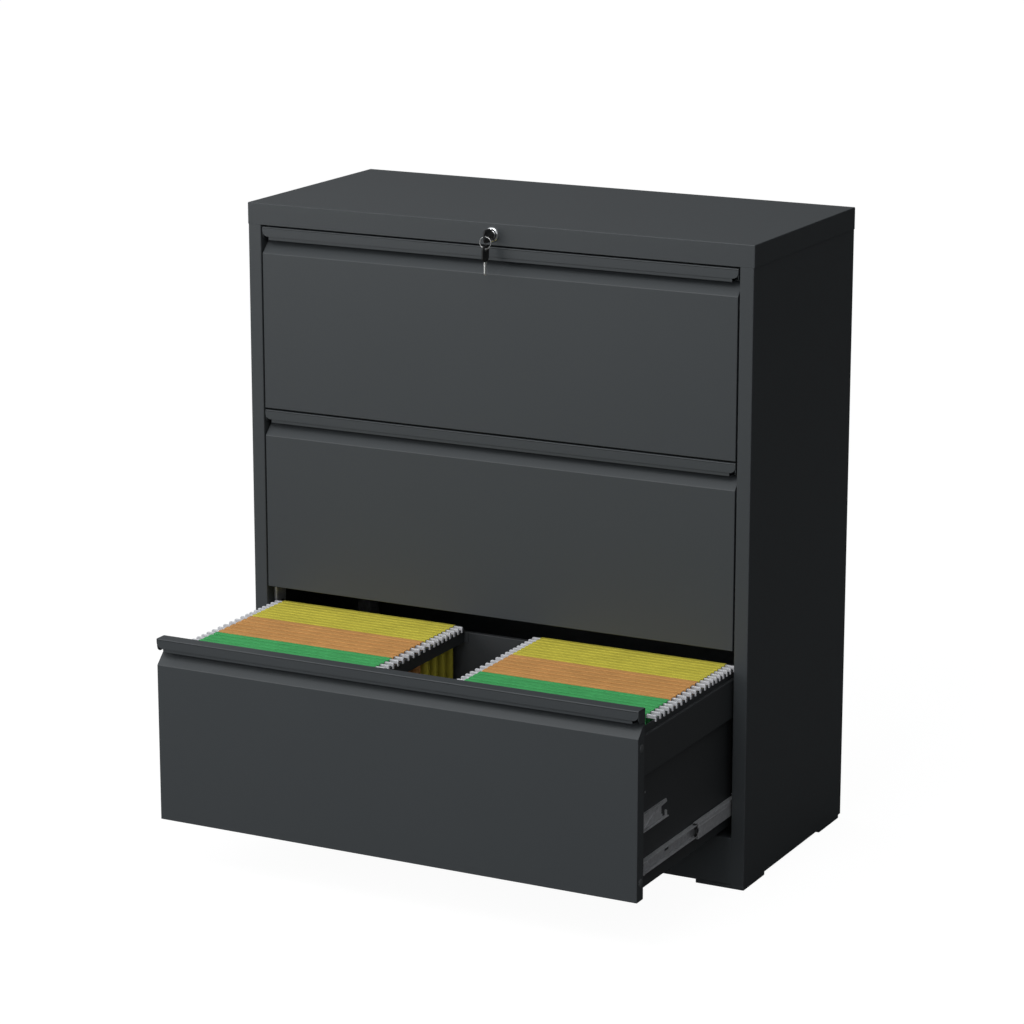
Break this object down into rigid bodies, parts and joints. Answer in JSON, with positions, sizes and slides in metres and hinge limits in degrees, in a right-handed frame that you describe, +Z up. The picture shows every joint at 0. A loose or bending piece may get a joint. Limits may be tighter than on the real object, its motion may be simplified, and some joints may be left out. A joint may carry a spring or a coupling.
{
  "type": "lateral filing cabinet",
  "caption": "Charcoal sheet-steel lateral filing cabinet with full-width drawers on telescopic slides, one drawn out with hanging folders, and a central lock with keys.",
  "frame": {"origin": "on the floor, under the centre of the bounding box of the cabinet with its bottom drawer drawn out", "axes": "+X right, -Y the way the drawers open, +Z up"},
  "size_m": [0.9, 0.749, 1.038],
  "materials": {
    "powder_coat": "fine-textured charcoal powder coat",
    "galvanised_steel": "zinc-plated sheet",
    "zinc_screw": "zinc-plated fasteners",
    "bright_chrome": "polished",
    "nickel": "nickel plate",
    "black_plastic": "moulded, satin",
    "grey_plastic": "moulded, matte",
    "folder_card": "yellow, orange and green manila card with plated rods"
  },
  "bodies": {
    "cabinet": {"top_panel": "powder_coat", "side_panel_left": "powder_coat", "side_panel_right": "powder_coat", "back_panel": "powder_coat", "base_rail": "powder_coat", "floor_pan": "powder_coat", "corner_feet": "powder_coat", "slide_posts": "galvanised_steel", "lock_bar_guides": "galvanised_steel", "cabinet_screws": "zinc_screw", "bottom_slide_outers": "galvanised_steel", "middle_slide_outers": "galvanised_steel", "top_slide_outers": "galvanised_steel", "lock_housing": "bright_chrome", "lock_nut": "zinc_screw"},
    "bottom_drawer": {"bottom_drawer_front": "powder_coat", "bottom_drawer_liner": "powder_coat", "bottom_drawer_tray": "powder_coat", "bottom_drawer_side_left": "powder_coat", "bottom_drawer_side_right": "powder_coat", "bottom_hanging_bars": "powder_coat", "bottom_lock_catch": "galvanised_steel", "bottom_front_plugs": "grey_plastic", "bottom_slide_inners": "galvanised_steel", "folders_left": "folder_card", "folders_right": "folder_card"},
    "bottom_slide_left": {"bottom_slide_middle_left": "galvanised_steel"},
    "bottom_slide_right": {"bottom_slide_middle_right": "galvanised_steel"},
    "middle_drawer": {"middle_drawer_front": "powder_coat", "middle_drawer_liner": "powder_coat", "middle_drawer_tray": "powder_coat", "middle_drawer_side_left": "powder_coat", "middle_drawer_side_right": "powder_coat", "middle_hanging_bars": "powder_coat", "middle_lock_catch": "galvanised_steel", "middle_front_plugs": "grey_plastic", "middle_slide_inners": "galvanised_steel"},
    "middle_slide_left": {"middle_slide_middle_left": "galvanised_steel"},
    "middle_slide_right": {"middle_slide_middle_right": "galvanised_steel"},
    "top_drawer": {"top_drawer_front": "powder_coat", "top_drawer_liner": "powder_coat", "top_drawer_tray": "powder_coat", "top_drawer_side_left": "powder_coat", "top_drawer_side_right": "powder_coat", "top_hanging_bars": "powder_coat", "top_lock_catch": "galvanised_steel", "top_front_plugs": "grey_plastic", "top_slide_inners": "galvanised_steel"},
    "top_slide_left": {"top_slide_middle_left": "galvanised_steel"},
    "top_slide_right": {"top_slide_middle_right": "galvanised_steel"},
    "lock_cylinder": {"lock_plug": "bright_chrome", "lock_cam": "galvanised_steel"},
    "key": {"key_bow": "black_plastic", "key_blade": "nickel"},
    "key_ring": {"key_ring": "nickel"},
    "link_bar": {"link_bar": "galvanised_steel"},
    "lock_bar": {"lock_bar": "galvanised_steel"}
  },
  "joints": [
    {"name": "bottom_drawer_slide", "type": "slide", "parent": "cabinet", "child": "bottom_drawer", "axis": [0, -1, 0], "range_m": [-0.343, 0]},
    {"name": "bottom_slide_left_travel", "type": "slide", "parent": "cabinet", "child": "bottom_slide_left", "axis": [0, -1, 0], "range_m": [-0.1715, 0]},
    {"name": "bottom_slide_right_travel", "type": "slide", "parent": "cabinet", "child": "bottom_slide_right", "axis": [0, -1, 0], "range_m": [-0.1715, 0]},
    {"name": "middle_drawer_slide", "type": "slide", "parent": "cabinet", "child": "middle_drawer", "axis": [0, -1, 0], "range_m": [0, 0.343]},
    {"name": "middle_slide_left_travel", "type": "slide", "parent": "cabinet", "child": "middle_slide_left", "axis": [0, -1, 0], "range_m": [0, 0.1715]},
    {"name": "middle_slide_right_travel", "type": "slide", "parent": "cabinet", "child": "middle_slide_right", "axis": [0, -1, 0], "range_m": [0, 0.1715]},
    {"name": "top_drawer_slide", "type": "slide", "parent": "cabinet", "child": "top_drawer", "axis": [0, -1, 0], "range_m": [0, 0.343]},
    {"name": "top_slide_left_travel", "type": "slide", "parent": "cabinet", "child": "top_slide_left", "axis": [0, -1, 0], "range_m": [0, 0.1715]},
    {"name": "top_slide_right_travel", "type": "slide", "parent": "cabinet", "child": "top_slide_right", "axis": [0, -1, 0], "range_m": [0, 0.1715]},
    {"name": "lock_bar_drop", "type": "slide", "parent": "cabinet", "child": "lock_bar", "axis": [0, 0, -1], "range_m": [0, 0.01131]},
    {"name": "lock_turn", "type": "hinge", "parent": "cabinet", "child": "lock_cylinder", "pos_m": [0, -0.0315, 1.0195], "axis": [0, 1, 0], "range_deg": [0, 90]},
    {"name": "key_withdraw", "type": "slide", "parent": "lock_cylinder", "child": "key", "axis": [0, -1, 0], "range_m": [0, 0.03]},
    {"name": "key_ring_swing", "type": "hinge", "parent": "key", "child": "key_ring", "pos_m": [0, -0.055, 1.0195], "axis": [0, 1, 0], "range_deg": [-45, 0]},
    {"name": "link_bar_slide", "type": "slide", "parent": "cabinet", "child": "link_bar", "axis": [1, 0, 0], "range_m": [0, 0.01132]}
  ],
  "couplings": [
    {"joint": "bottom_slide_left_travel", "follows": "bottom_drawer_slide", "ratio": 0.5},
    {"joint": "bottom_slide_right_travel", "follows": "bottom_drawer_slide", "ratio": 0.5},
    {"joint": "middle_slide_left_travel", "follows": "middle_drawer_slide", "ratio": 0.5},
    {"joint": "middle_slide_right_travel", "follows": "middle_drawer_slide", "ratio": 0.5},
    {"joint": "top_slide_left_travel", "follows": "top_drawer_slide", "ratio": 0.5},
    {"joint": "top_slide_right_travel", "follows": "top_drawer_slide", "ratio": 0.5},
    {"joint": "lock_turn", "follows": "lock_bar_drop", "rad_per_m": 138.83},
    {"joint": "key_ring_swing", "follows": "lock_bar_drop", "rad_per_m": -69.417},
    {"joint": "link_bar_slide", "follows": "lock_bar_drop", "ratio": 1}
  ]
}
